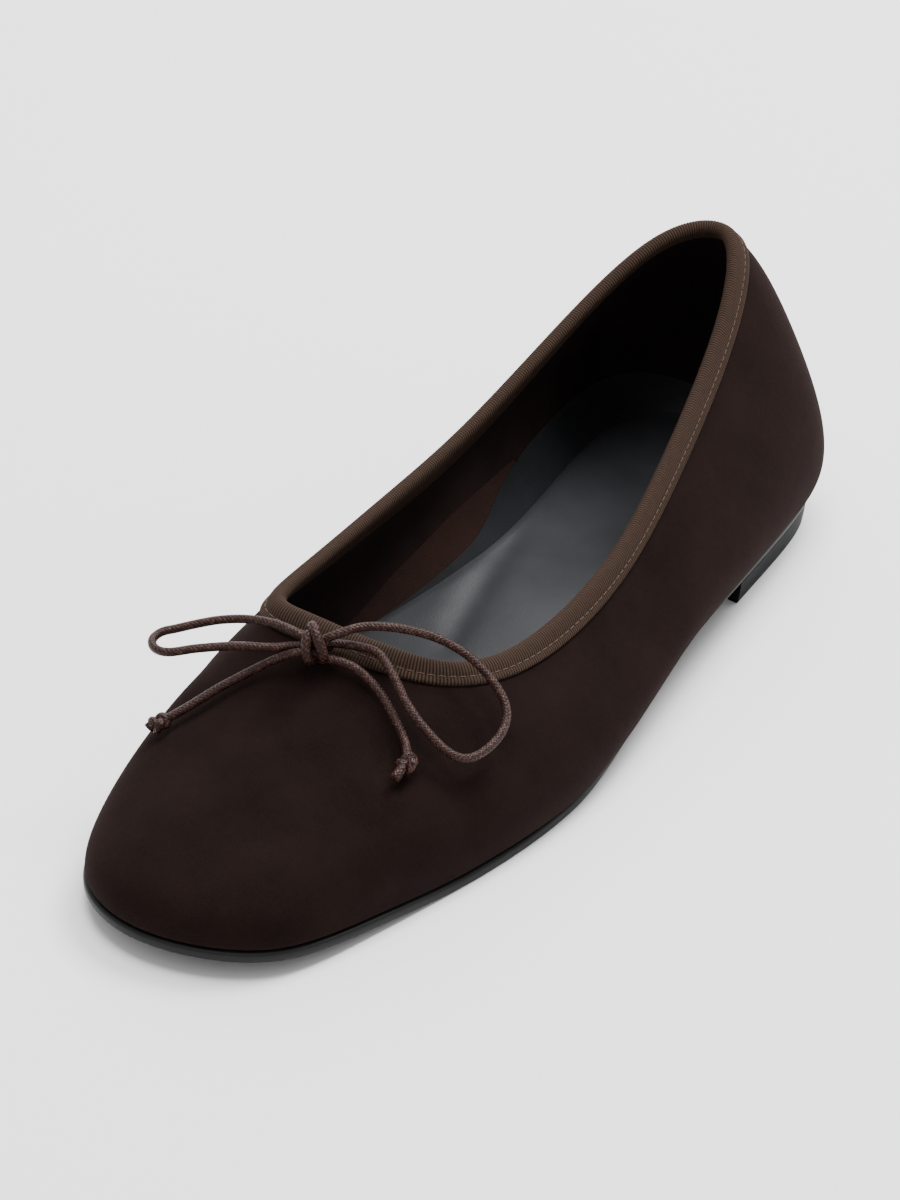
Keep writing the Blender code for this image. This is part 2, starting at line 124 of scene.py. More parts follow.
# Sections round the shoe, from the toe over the outer side to the heel and back: feather line
# and collar, along in lengths, out in ball widths and up in back heights, the lean of the side
# at both ends in degrees, and the pull of its curve at the collar
SECTION_COLUMNS = ("foot_along", "foot_out", "top_along", "top_out", "top_up",
                   "foot_lean", "top_lean", "top_pull")
SECTIONS = {
    "toe": (1.004, -0.040, 0.688, -0.043, 0.547, 90, 30, 0.161),
    "toe outer": (0.968, 0.240, 0.681, 0.086, 0.522, 88, 29, 0.153),
    "little toe": (0.861, 0.379, 0.658, 0.215, 0.485, 84, 31, 0.113),
    "ball outer": (0.665, 0.510, 0.584, 0.304, 0.450, 70, 43, 0.057),
    "waist front outer": (0.505, 0.502, 0.459, 0.322, 0.478, 58, 65, 0.059),
    "waist outer": (0.341, 0.432, 0.331, 0.277, 0.577, 49, 64, 0.067),
    "heel front outer": (0.141, 0.380, 0.174, 0.188, 0.779, 54, 55, 0.074),
    "heel corner outer": (0.029, 0.288, 0.081, 0.100, 0.948, 60, 43, 0.073),
    "heel": (0.000, 0.012, 0.048, -0.010, 0.997, 63, 33, 0.081),
    "heel corner inner": (0.037, -0.253, 0.082, -0.140, 0.961, 64, 40, 0.073),
    "heel front inner": (0.153, -0.305, 0.177, -0.247, 0.804, 69, 57, 0.073),
    "waist inner": (0.355, -0.245, 0.333, -0.305, 0.626, 62, 75, 0.065),
    "waist front inner": (0.524, -0.372, 0.464, -0.335, 0.551, 71, 77, 0.056),
    "ball inner": (0.710, -0.484, 0.601, -0.337, 0.532, 93, 58, 0.056),
    "big toe": (0.881, -0.434, 0.679, -0.287, 0.563, 96, 46, 0.108),
    "toe inner": (0.973, -0.291, 0.692, -0.170, 0.569, 91, 37, 0.153),
}

# Underside of the sole: share of the length from the heel, share of the heel's rise
SOLE_CURVE = {
    "heel back": (0.00, 1.02),
    "heel breast": (0.25, 0.95),
    "arch": (0.36, 0.97),
    "arch front": (0.52, 0.34),
    "tread back": (0.62, 0.00),
    "tread front": (0.75, 0.00),
    "toe roll": (0.86, 0.26),
    "toe": (1.01, 0.78),
}

# Edge of the sole beyond the feather line: share of the length, share of SOLE_PROUD
SOLE_EDGE = {
    "heel back": (0.00, -0.5),
    "heel breast": (0.25, -1.0),
    "waist": (0.40, -2.5),
    "ball back": (0.60, -1.0),
    "ball": (0.75, 1.0),
    "toe": (1.01, 1.0),
}

# Drawstring routes: outward from the middle, distance along, height
KNOT = (-0.0065, 0.1796, 0.0423)
CORD_ROUTES = {
    "bow_loop_outer": [
        KNOT, (-0.0022, 0.1766, 0.0447), (0.0022, 0.1724, 0.0458),
        (0.0095, 0.1685, 0.0456), (0.0172, 0.1646, 0.0432), (0.0250, 0.1635, 0.0398),
        (0.0330, 0.1655, 0.0353), (0.0368, 0.1693, 0.0320), (0.0376, 0.1755, 0.0298),
        (0.0360, 0.1820, 0.0290), (0.0323, 0.1845, 0.0300), (0.0257, 0.1838, 0.0330),
        (0.0193, 0.1817, 0.0364), (0.0124, 0.1775, 0.0400), (0.0062, 0.1745, 0.0418),
        (-0.0023, 0.1752, 0.0412), KNOT],
    "bow_loop_inner": [
        KNOT, (-0.0126, 0.1797, 0.0437), (-0.0182, 0.1798, 0.0438),
        (-0.0242, 0.1808, 0.0432), (-0.0296, 0.1830, 0.0423), (-0.0340, 0.1857, 0.0412),
        (-0.0376, 0.1884, 0.0402), (-0.0400, 0.1910, 0.0398), (-0.0400, 0.1944, 0.0396),
        (-0.0375, 0.1968, 0.0395), (-0.0339, 0.1966, 0.0397), (-0.0288, 0.1930, 0.0405),
        (-0.0223, 0.1884, 0.0409), (-0.0155, 0.1845, 0.0408), (-0.0118, 0.1818, 0.0409), KNOT],
    "bow_end_outer": [
        (-0.0080, 0.1806, 0.0396), (-0.0025, 0.1796, 0.0396), (0.0030, 0.1786, 0.0389),
        (0.0090, 0.1794, 0.0366), (0.0154, 0.1824, 0.0336), (0.0220, 0.1870, 0.0306),
        (0.0256, 0.1917, 0.0294)],
    "bow_end_inner": [
        (-0.0062, 0.1820, 0.0416), (-0.0098, 0.1835, 0.0407), (-0.0140, 0.1850, 0.0382),
        (-0.0185, 0.1877, 0.0351), (-0.0233, 0.1932, 0.0320), (-0.0273, 0.1995, 0.0291),
        (-0.0311, 0.2049, 0.0266)],
}


# Surface of the shoe
def column(name):
    at = SECTION_COLUMNS.index(name)
    return np.array([row[at] for row in SECTIONS.values()], float)


def closed_curve(rows, places):
    """Smooth closed curve through evenly spaced rows, read at places from 0 to 1."""
    rows = np.asarray(rows, float)
    size = len(rows)
    one = np.eye(size)
    band = 4 * one + np.roll(one, 1, 0) + np.roll(one, -1, 0)
    bend = np.linalg.solve(band, 6 * (np.roll(rows, -1, 0) - 2 * rows + np.roll(rows, 1, 0)))
    place = (np.asarray(places) % 1.0) * size
    low = place.astype(int) % size
    part = place - np.floor(place)
    rest = 1 - part
    high = (low + 1) % size
    return (rest * rows[low] + part * rows[high]
            + ((rest**3 - rest) * bend[low] + (part**3 - part) * bend[high]) / 6)


def eased(table, share):
    """Curve through the table's points that never overshoots them."""
    xs = np.array([row[0] for row in table])
    ys = np.array([row[1] for row in table])
    step = np.diff(xs)
    slope = np.diff(ys) / step
    lean = np.zeros(len(xs))
    lean[0], lean[-1] = slope[0], slope[-1]
    for i in range(1, len(xs) - 1):
        if slope[i - 1] * slope[i] > 0:
            before, after = 2 * step[i] + step[i - 1], step[i] + 2 * step[i - 1]
            lean[i] = (before + after) / (before / slope[i - 1] + after / slope[i])
    share = np.clip(share, xs[0], xs[-1])
    k = np.clip(np.searchsorted(xs, share, side="right") - 1, 0, len(xs) - 2)
    t = (share - xs[k]) / step[k]
    return (ys[k] * (1 + 2 * t) * (1 - t)**2 + ys[k + 1] * t * t * (3 - 2 * t)
            + step[k] * t * (1 - t) * (lean[k] * (1 - t) - lean[k + 1] * t))


def sole_under(along):
    return HEEL_RISE * eased(list(SOLE_CURVE.values()), np.asarray(along) / LENGTH)


def sole_top(along):
    return sole_under(along) + SOLE_THICK


def unit(vectors):
    return vectors / np.linalg.norm(vectors, axis=-1, keepdims=True)


def sole_edge(foot, side):
    """Edge of the sole seen from above: it stands out at the toes and is set in at the waist."""
    proud = SOLE_PROUD * eased(list(SOLE_EDGE.values()), -foot[:, 1] / LENGTH)
    return foot + side * proud[:, None]


def outward(ring):
    """Level outward normals of a closed ring seen from above."""
    along = np.roll(ring, -1, 0) - np.roll(ring, 1, 0)
    side = np.stack([-along[:, 1], along[:, 0], 0 * along[:, 0]], 1)
    turned = np.sign(((ring - ring.mean(0)) * side).sum())
    return unit(side) * turned


def drop(points, height):
    """The points at a height above the sole's top."""
    points = points.copy()
    points[:, 2] = sole_top(-points[:, 1]) + height
    return points


def feather(places):
    """Feather line on the sole's top, and its outward normals."""
    along = closed_curve(column("foot_along"), places) * LENGTH
    out = closed_curve(column("foot_out"), places) * BALL_WIDTH
    ring = np.stack([out, -along, sole_top(along)], 1)
    return ring, outward(ring)


def collar_edge(places):
    """Cut edge of the collar."""
    return np.stack([closed_curve(column("top_out"), places) * BALL_WIDTH,
                     -closed_curve(column("top_along"), places) * LENGTH,
                     closed_curve(column("top_up"), places) * BACK_HEIGHT], 1)


def upper_grid(places, steps, round_steps):
    """Outside of the upper as rows from the turned margin up to the collar, and its normals."""
    foot, side = feather(places)
    top = collar_edge(places)
    top_side = outward(top)
    lean = np.radians(closed_curve(column("foot_lean"), places))[:, None]
    fall = np.radians(closed_curve(column("top_lean"), places))[:, None]
    pull = closed_curve(column("top_pull"), places)[:, None] * LENGTH
    up = np.array([0.0, 0.0, 1.0])
    corner = drop(foot, GAP)
    rise = np.sin(lean) * up + np.cos(lean) * side
    start = corner + rise * FEATHER_ROUND
    under = drop(corner - side * FEATHER_ROUND, GAP)
    rows = [drop(corner - side * (FEATHER_ROUND + MARGIN), GAP), under]
    for k in range(1, round_steps):
        t = k / round_steps
        rows.append((1 - t)**2 * under + 2 * t * (1 - t) * corner + t * t * start)
    first = start + rise * (FOOT_PULL * LENGTH - FEATHER_ROUND)
    last = top + pull * (np.cos(fall) * top_side - np.sin(fall) * up)
    for t in np.linspace(0, 1, steps + 1):
        rows.append((1 - t)**3 * start + 3 * t * (1 - t)**2 * first
                    + 3 * t * t * (1 - t) * last + t**3 * top)
    grid = np.array(rows)
    return grid, grid_normals(grid, side)


def grid_normals(grid, side):
    """Outward normals of the grid; those of the turned margin point down."""
    ahead = np.zeros_like(grid)
    back = np.diff(grid, axis=0)
    weight = 1 / (back**2).sum(-1, keepdims=True)
    ahead[:-1] += back * weight
    ahead[1:] += back * weight
    round_way = np.roll(grid, -1, 1) - np.roll(grid, 1, 1)
    normals = unit(np.cross(ahead, round_way))
    if (normals[-1] * side).sum() < 0:
        normals = -normals
    normals[:2] = (0.0, 0.0, -1.0)
    return normals


def run_along(line):
    """Length of a line from its first point to each of its points."""
    return np.concatenate([[0], np.cumsum(np.linalg.norm(np.diff(line, axis=0), axis=1))])


def along_rows(rows, distance):
    """Points a distance down from the last row, measured along each section."""
    found = np.empty_like(rows[-1])
    marks = np.broadcast_to(distance, rows.shape[1])
    for j in range(rows.shape[1]):
        line = rows[::-1, j]
        run = run_along(line)
        for k in range(3):
            found[j, k] = np.interp(marks[j], run, line[:, k])
    return found


def even_places(count):
    return np.arange(count) / count


def even_collar(count):
    """Places whose collar points lie evenly along the collar, and the collar's length."""
    fine = np.arange(COLLAR_STEPS + 1) / COLLAR_STEPS
    run = run_along(collar_edge(fine))
    return np.interp(even_places(count) * run[-1], run, fine), run[-1]


# Shift from the sections to the CAD's frame, read from the upper's lowest corner
cad_outside = upper_grid(even_places(CAD_COLUMNS), CAD_STEPS, CAD_ROUND)[0]
SHIFT = np.array(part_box("upper")[0]) - cad_outside.reshape(-1, 3).min(0)


# Mesh helpers
def add_object(name, mesh, material):
    mesh.materials.append(material)
    thing = bpy.data.objects.new(name, mesh)
    bpy.context.scene.collection.objects.link(thing)
    return thing


def grid_mesh(name, rows, material, uv=None):
    """Mesh of a grid that is closed both ways; uv gives the two coordinates of a grid point."""
    rows = np.asarray(rows) + SHIFT
    high, wide = rows.shape[:2]
    faces = []
    uvs = []
    for i in range(high):
        up = (i + 1) % high
        for j in range(wide):
            on = (j + 1) % wide
            faces.append([i * wide + j, i * wide + on, up * wide + on, up * wide + j])
            uvs += [(i, j), (i, j + 1), (i + 1, j + 1), (i + 1, j)]
    mesh = bpy.data.meshes.new(name)
    mesh.from_pydata(rows.reshape(-1, 3).tolist(), [], faces)
    if uv:
        layer = mesh.uv_layers.new(name="UVMap")
        flat = np.array([uv(a, b) for a, b in uvs], dtype=np.float32).ravel()
        layer.data.foreach_set("uv", flat)
    mesh.shade_smooth()
    return add_object(name, mesh, material)


def right_way(thing):
    """Turns the faces of a closed piece outwards."""
    bm = bmesh.new()
    bm.from_mesh(thing.data)
    bmesh.ops.recalc_face_normals(bm, faces=bm.faces)
    bm.to_mesh(thing.data)
    bm.free()
    return thing


def tube(points, radius, sides, caps=True):
    """Vertices, faces and UVs of a tube; radius is a number or one per point."""
    points = np.asarray(points, float)
    count = len(points)
    radius = np.broadcast_to(radius, (count,))
    ahead = unit(np.gradient(points, axis=0))
    normal = np.cross(ahead[0], (0.0, 0.0, 1.0))
    if np.linalg.norm(normal) < 1e-6:
        normal = np.array([1.0, 0.0, 0.0])
    normal = normal / np.linalg.norm(normal)
    verts = []
    run = 0.0
    runs = []
    for i in range(count):
        if i:
            run += np.linalg.norm(points[i] - points[i - 1])
            normal = normal - ahead[i] * np.dot(normal, ahead[i])
            normal = normal / np.linalg.norm(normal)
        runs.append(run)
        side = np.cross(ahead[i], normal)
        for k in range(sides):
            turn = 2 * math.pi * k / sides
            spoke = math.cos(turn) * normal + math.sin(turn) * side
            verts.append(points[i] + radius[i] * spoke)
    faces = []
    uvs = []
    for i in range(count - 1):
        for k in range(sides):
            on = (k + 1) % sides
            faces.append([i * sides + k, i * sides + on,
                          (i + 1) * sides + on, (i + 1) * sides + k])
            uvs += [(runs[i], k / sides), (runs[i], (k + 1) / sides),
                    (runs[i + 1], (k + 1) / sides), (runs[i + 1], k / sides)]
    if caps:
        for i, order in ((0, -1), (count - 1, 1)):
            verts.append(points[i])
            middle = len(verts) - 1
            for k in range(sides):
                on = (k + 1) % sides
                face = [i * sides + k, i * sides + on, middle]
                faces.append(face[::order])
                uvs += [(runs[i], 0.5)] * 3
    return np.array(verts), faces, uvs


def joined(name, parts, material):
    """One mesh from several tubes."""
    verts = []
    faces = []
    uvs = []
    for part_verts, part_faces, part_uvs in parts:
        base = sum(len(v) for v in verts)
        verts.append(part_verts)
        faces += [[i + base for i in face] for face in part_faces]
        uvs += part_uvs
    mesh = bpy.data.meshes.new(name)
    mesh.from_pydata((np.concatenate(verts) + SHIFT).tolist(), [], faces)
    layer = mesh.uv_layers.new(name="UVMap")
    layer.data.foreach_set("uv", np.array(uvs, dtype=np.float32).ravel())
    mesh.shade_smooth()
    return add_object(name, mesh, material)


def smooth_route(points, spacing):
    """Evenly spaced points along a smooth curve through the route's own points."""
    points = np.array(points, float)
    ends = np.vstack([2 * points[0] - points[1], points, 2 * points[-1] - points[-2]])
    dense = []
    for a, b, c, d in zip(ends, ends[1:], ends[2:], ends[3:]):
        for t in np.linspace(0, 1, ROUTE_STEPS, endpoint=False):
            dense.append(0.5 * (2 * b + (c - a) * t + (2 * a - 5 * b + 4 * c - d) * t * t
                                + (3 * b - a - 3 * c + d) * t**3))
    dense = np.array(dense + [points[-1]])
    run = run_along(dense)
    marks = np.linspace(0, run[-1], max(2, round(run[-1] / spacing) + 1))
    return np.stack([np.interp(marks, run, dense[:, k]) for k in range(3)], 1)


def shoe_points(route):
    """Points of a route, whose distances along run from the heel to the toe."""
    return np.array([(x, -along, z) for x, along, z in route])


# Materials
def paint(name, colour, roughness, **sockets):
    """New material, its node tree and its shader."""
    made = bpy.data.materials.new(name)
    made.use_nodes = True
    shader = made.node_tree.nodes["Principled BSDF"]
    shader.inputs["Base Color"].default_value = (*colour, 1.0)
    shader.inputs["Roughness"].default_value = roughness
    for socket, value in sockets.items():
        shader.inputs[socket.replace("_", " ")].default_value = value
    return made, made.node_tree, shader


def node(tree, kind, **values):
    made = tree.nodes.new(kind)
    for key, value in values.items():
        if key in made.inputs:
            made.inputs[key].default_value = value
        else:
            setattr(made, key, value)
    return made


def math_node(tree, operation, first, second=None):
    made = tree.nodes.new("ShaderNodeMath")
    made.operation = operation
    for slot, value in zip(made.inputs, (first, second)):
        if value is None:
            continue
        if isinstance(value, (int, float)):
            slot.default_value = value
        else:
            tree.links.new(value, slot)
    return made.outputs[0]


def noise(tree, place, scale, detail, rough):
    made = node(tree, "ShaderNodeTexNoise", Scale=scale, Detail=detail, Roughness=rough)
    tree.links.new(place, made.inputs["Vector"])
    return made.outputs["Fac"]


def ramp(tree, source, stops):
    made = tree.nodes.new("ShaderNodeValToRGB")
    while len(made.color_ramp.elements) < len(stops):
        made.color_ramp.elements.new(0.5)
    for element, (place, colour) in zip(made.color_ramp.elements, stops):
        element.position = place
        element.color = (*colour, 1.0)
    tree.links.new(source, made.inputs["Fac"])
    return made.outputs["Color"]


def bump(tree, shader, height, distance, strength, under=None):
    made = node(tree, "ShaderNodeBump", Strength=strength, Distance=distance)
    tree.links.new(height, made.inputs["Height"])
    if under:
        tree.links.new(under, made.inputs["Normal"])
    tree.links.new(made.outputs["Normal"], shader.inputs["Normal"])
    return made.outputs["Normal"]


def coordinates(tree, which="Object"):
    return tree.nodes.new("ShaderNodeTexCoord").outputs[which]


def suede_paint(name, dark, light, sheen):
    """Nap with wide soft patches and fine specks."""
    made, tree, shader = paint(name, dark, 0.95, Sheen_Weight=sheen, Sheen_Roughness=0.5,
                               Sheen_Tint=(0.62, 0.34, 0.31, 1.0), Specular_IOR_Level=0.05)
    place = coordinates(tree)
    wide = noise(tree, place, 55.0, 3.0, 0.6)
    fine = noise(tree, place, 1400.0, 2.0, 0.7)
    mixed = math_node(tree, "ADD", math_node(tree, "MULTIPLY", wide, 0.7),
                      math_node(tree, "MULTIPLY", fine, 0.3))
    tree.links.new(ramp(tree, mixed, [(0.30, dark), (0.70, light)]), shader.inputs["Base Color"])
    nap = bump(tree, shader, noise(tree, place, 2600.0, 3.0, 0.7), 0.0003, 0.5)
    bump(tree, shader, noise(tree, place, 160.0, 2.0, 0.5), 0.0006, 0.25, nap)
    return made


def tape_paint():
    """Ribs across the tape: darker in the grooves as painted shade, lighter on the crests as
    painted light, with a random yarn tone.
    """
    made, tree, shader = paint("tape_ribs", (0.05, 0.03, 0.024), 0.85, Sheen_Weight=0.05,
                               Sheen_Roughness=0.4, Sheen_Tint=(0.7, 0.46, 0.36, 1.0),
                               Specular_IOR_Level=0.12)
    split = tree.nodes.new("ShaderNodeSeparateXYZ")
    tree.links.new(coordinates(tree, "UV"), split.inputs[0])
    wave = math_node(tree, "COSINE", math_node(tree, "MULTIPLY", split.outputs[0], 2 * math.pi))
    crest = math_node(tree, "ADD", math_node(tree, "MULTIPLY", wave, 0.5), 0.5)
    place = coordinates(tree)
    yarn = noise(tree, place, 900.0, 2.0, 0.6)
    # Painted light on the rib crests and painted shade in the grooves, times a random yarn tone
    painted_crest_light_and_yarn = math_node(tree, "MULTIPLY", crest, math_node(tree, "ADD", yarn, 0.5))
    colour = ramp(tree, painted_crest_light_and_yarn, [(0.10, (0.0068, 0.0036, 0.0027)), (0.85, (0.042, 0.0236, 0.0150))])
    tree.links.new(colour, shader.inputs["Base Color"])
    bump(tree, shader, noise(tree, place, 2500.0, 2.0, 0.6), 0.0002, 0.5)
    return made


def cord_paint():
    """Fine braid, darker in its gaps as painted shade, with a few lighter specks."""
    made, tree, shader = paint("elastic_cord", (0.020, 0.0065, 0.0048), 0.36,
                               Specular_IOR_Level=0.17)
    split = tree.nodes.new("ShaderNodeSeparateXYZ")
    tree.links.new(coordinates(tree, "UV"), split.inputs[0])
    along = math_node(tree, "MULTIPLY", split.outputs[0], 2 * math.pi / BRAID)
    turn = math_node(tree, "MULTIPLY", split.outputs[1], 2 * math.pi * BRAID_TURNS)
    left = math_node(tree, "COSINE", math_node(tree, "ADD", along, turn))
    right = math_node(tree, "COSINE", math_node(tree, "SUBTRACT", along, turn))
    braid = math_node(tree, "MAXIMUM", left, right)
    # Painted shade: the braid is darker in the gaps between its strands
    shade = math_node(tree, "ADD", math_node(tree, "MULTIPLY", braid, 0.5), 0.5)
    place = coordinates(tree)
    speck = math_node(tree, "POWER", noise(tree, place, 1500.0, 1.0, 0.5), 3.0)
    mixed = math_node(tree, "ADD", math_node(tree, "MULTIPLY", shade, 0.55),
                      math_node(tree, "MULTIPLY", speck, 1.6))
    colour = ramp(tree, mixed, [(0.05, (0.007, 0.0022, 0.0017)), (0.66, (0.019, 0.0062, 0.0045)),
                                (0.98, (0.070, 0.031, 0.022))])
    tree.links.new(colour, shader.inputs["Base Color"])
    bump(tree, shader, braid, 0.00008, 0.7)
    return made


def leather_paint(name, colour, roughness, grain, strength, **sockets):
    """Smooth leather: fine pebbles, soft waves and a slight change of shade."""
    made, tree, shader = paint(name, colour, roughness, **sockets)
    place = coordinates(tree)
    cells = node(tree, "ShaderNodeTexVoronoi", Scale=grain)
    cells.feature = "DISTANCE_TO_EDGE"
    tree.links.new(place, cells.inputs["Vector"])
    under = bump(tree, shader, cells.outputs["Distance"], 0.0003, strength)
    bump(tree, shader, noise(tree, place, 90.0, 3.0, 0.5), 0.0005, 0.2, under)
    light = tuple(min(1.0, c * 1.5 + 0.002) for c in colour)
    tree.links.new(ramp(tree, noise(tree, place, 35.0, 3.0, 0.6), [(0.35, colour), (0.70, light)]),
                   shader.inputs["Base Color"])
    return made


suede = suede_paint("suede_nap", (0.0046, 0.0023, 0.0019), (0.0098, 0.0051, 0.0044), 0.034)
flesh = suede_paint("suede_flesh_side", (0.0175, 0.0092, 0.0074), (0.0260, 0.0140, 0.0114), 0.04)
tape = tape_paint()
cord = cord_paint()
thread = paint("tape_thread", (0.066, 0.040, 0.023), 0.7)[0]
sock = leather_paint("sock_leather_black", (0.0120, 0.0126, 0.0146), 0.48, 1500.0, 0.15,
                     Specular_IOR_Level=0.30)
# Dark brown skin inside the wall: black lining at the heel, painted shade on the wall further
# forward
lining_and_shade_paint = leather_paint("lining_black_and_painted_shade", (0.0110, 0.0062, 0.0058), 0.75, 1300.0, 0.20,
                       Specular_IOR_Level=0.06)
sole_black = leather_paint("sole_edge_black", (0.0060, 0.0060, 0.0066), 0.45, 700.0, 0.10,
                           Specular_IOR_Level=0.15)
heel_black = leather_paint("heel_stack_black", (0.0045, 0.0045, 0.0053), 0.50, 500.0, 0.05,
                           Specular_IOR_Level=0.04)

# Camera at the photograph's angle
EYE = Vector((0.4330, -0.6923, 0.5443))
AIM = Vector((-0.0049, -0.0085, 0.0290))
SENSOR = 36.0
FOCAL_PIXELS = 4190.0     # focal length in pixels of the photograph
PHOTO_HEIGHT = 1200.0
lens = bpy.data.cameras.new("camera")
lens.sensor_width = SENSOR
lens.lens = SENSOR * FOCAL_PIXELS / PHOTO_HEIGHT
camera = bpy.data.objects.new("camera", lens)
bpy.context.scene.collection.objects.link(camera)
camera.location = EYE
camera.rotation_euler = (AIM - EYE).to_track_quat("-Z", "Y").to_euler()
bpy.context.scene.camera = camera

# Small knots of the bow: place as in the routes, the strand that it ends, and the way and the
# length of its cut tail
END_KNOTS = {
    "bow_end_knot_outer": (
        (0.0256, 0.1917, 0.0294), "bow_end_outer", (-0.05, 0.95, -0.30), 0.0032),
    "bow_end_knot_inner": (
        (-0.0311, 0.2049, 0.0266), "bow_end_inner", (-0.55, 0.75, -0.30), 0.0009),
}

# Knot of the bow from its centre, in the camera's axes: across, up and towards the camera
VIEW_AXES = np.array([[0.846, 0.533, 0.0], [-0.284, 0.451, 0.846], [0.451, -0.716, 0.533]])
KNOT_TURNS = {
    "over": [(-0.0006, 0.0038, 0.0004), (0.0000, 0.0032, 0.0021), (0.0007, 0.0010, 0.0030),
             (0.0016, -0.0014, 0.0027), (0.0020, -0.0032, 0.0012), (0.0014, -0.0030, -0.0010),
             (0.0006, -0.0004, -0.0022), (-0.0004, 0.0024, -0.0016)],
    "under": [(-0.0012, 0.0020, 0.0014), (-0.0017, 0.0004, 0.0024), (-0.0018, -0.0018, 0.0023),
              (-0.0012, -0.0036, 0.0012), (-0.0006, -0.0032, -0.0008), (-0.0008, -0.0010, -0.0018),
              (-0.0010, 0.0012, -0.0010)],
}
KNOT_CROSSINGS = [((-0.0030, 0.0004, 0.0004), (0.0030, 0.0004, 0.0000)),
                  ((-0.0024, -0.0020, 0.0000), (0.0024, -0.0022, -0.0004))]
KNOT_ROOTS = [KNOT, (-0.0056, 0.1775, 0.0405), (-0.0050, 0.1755, 0.0398)]


def knot_lump(name, place, ahead, tail_long):
    """Overhand knot of the cord, its path a trefoil, with a short cut tail."""
    turn = np.linspace(0, 2 * math.pi, KNOT_STEPS + 1)
    loop = np.stack([np.sin(turn) + 2 * np.sin(2 * turn), np.cos(turn) - 2 * np.cos(2 * turn),
                     -1.3 * np.sin(3 * turn)], 1) * KNOT_SIZE / 3
    ahead = unit(np.array(ahead, float))
    side = unit(np.cross(ahead, (0.0, 0.0, 1.0)))
    over = np.cross(side, ahead)
    path = loop[:, :1] * side + loop[:, 1:2] * ahead + loop[:, 2:] * over + place
    tail = smooth_route([place, place + ahead * KNOT_SIZE + over * TAIL_LIFT,
                         place + ahead * (KNOT_SIZE + tail_long)], TAIL_SPACING)
    flare = np.linspace(*TAIL_FLARE, len(tail)) * STRAND / 2
    return joined(name, [tube(path, KNOT_RADIUS, 12, False), tube(tail, flare, 12)], cord)


def bow_centre():
    """Knot of the bow: two turns over the crossing strands, and its roots in the tape."""
    centre = shoe_points([KNOT])[0]
    parts = []
    for turns in KNOT_TURNS.values():
        rows = np.array(turns)
        marks = np.arange(TURN_STEPS + 1) / TURN_STEPS
        ring = np.stack([closed_curve(rows[:, k], marks) for k in range(3)], 1)
        parts.append(tube(ring @ VIEW_AXES + centre, TURN_RADIUS, 14, False))
    for crossing in KNOT_CROSSINGS:
        ends = [centre + np.array(end) @ VIEW_AXES for end in crossing]
        parts.append(tube(smooth_route(ends, KNOT_SPACING), CROSSING_RADIUS, 14))
    roots = smooth_route(shoe_points(KNOT_ROOTS), KNOT_SPACING)
    parts.append(tube(roots, STRAND / 2, 14))
    return joined("bow_knot_cord", parts, cord)


for name, (place, along, tail, tail_long) in END_KNOTS.items():
    x, y, z = place
    dx, dy, dz = tail
    lump = knot_lump(name + "_cord", np.array([x, -y, z]), (dx, -dy, dz), tail_long)
    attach(lump, "root")
    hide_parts(name)
knot = bow_centre()
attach(knot, "root")
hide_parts("bow_knot")
for name, route in CORD_ROUTES.items():
    line = smooth_route(shoe_points(route), ROUTE_SPACING)
    strand = joined(name + "_cord", [tube(line, STRAND / 2, 16)], cord)
    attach(strand, "root")
    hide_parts(name)

# Upper, with its soft creases in plan: out and along at both ends, half width, rise
UPPER_FOLDS = {
    "pucker under the knot": (-0.0060, 0.186, -0.0085, 0.201, 0.0040, -0.00035),
    "pucker beside the knot": (0.0050, 0.184, 0.0095, 0.197, 0.0036, -0.00030),
    "flex fold, outer": (0.0330, 0.170, 0.0210, 0.192, 0.0050, -0.00045),
    "flex roll, outer": (0.0370, 0.178, 0.0250, 0.200, 0.0052, 0.00035),
    "flex fold, inner": (-0.0340, 0.182, -0.0250, 0.196, 0.0048, -0.00035),
    "toe dent": (0.0040, 0.212, 0.0100, 0.224, 0.0050, -0.00030),
}
FOLD_END = 0.03           # how softly a crease ends, from its length squared


def fold_rise(out, along, folds):
    """Height of the creases at places in plan: each is a soft trough or ridge along a line."""
    rise = np.zeros(np.shape(out))
    for start_out, start_along, far_out, far_along, half_width, high in folds.values():
        line = np.array([far_out - start_out, far_along - start_along])
        long = math.hypot(*line)
        run = ((out - start_out) * line[0] + (along - start_along) * line[1]) / long**2
        off = ((out - start_out) * line[1] - (along - start_along) * line[0]) / long
        beyond = np.maximum(0.0, np.maximum(-run, run - 1))
        rise += high * np.exp(-beyond**2 / FOLD_END - (off / half_width)**2)
    return rise


outside, normals = upper_grid(even_places(COLUMNS), WALL_STEPS, ROUND)
# The creases fade out where the suede turns down
facing_up = np.clip(normals[..., 2:] * 2 - 0.2, 0, 1)
creases = fold_rise(outside[..., 0], -outside[..., 1], UPPER_FOLDS)[..., None] * facing_up
inside = outside - normals * WALL
shell_rows = np.concatenate([outside + normals * creases, inside[::-1]])
shell = right_way(grid_mesh("upper_suede", shell_rows, suede))
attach(shell, "root")
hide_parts("upper")

# Inside of the wall: the suede's flesh side; over it a dark skin that is the black lining of the
# quarters at the heel and, further forward round to the front and down to its sloping lower edge,
# painted shade under the collar; and the sock's edge where it curls up the wall: place round the
# shoe, lower and upper end of the skin as shares of the wall's height
FLESH_SIDE = {
    "outer front": (0.100, 0.02, 1.0),
    "inner front": (0.900, 0.02, 1.0),
}
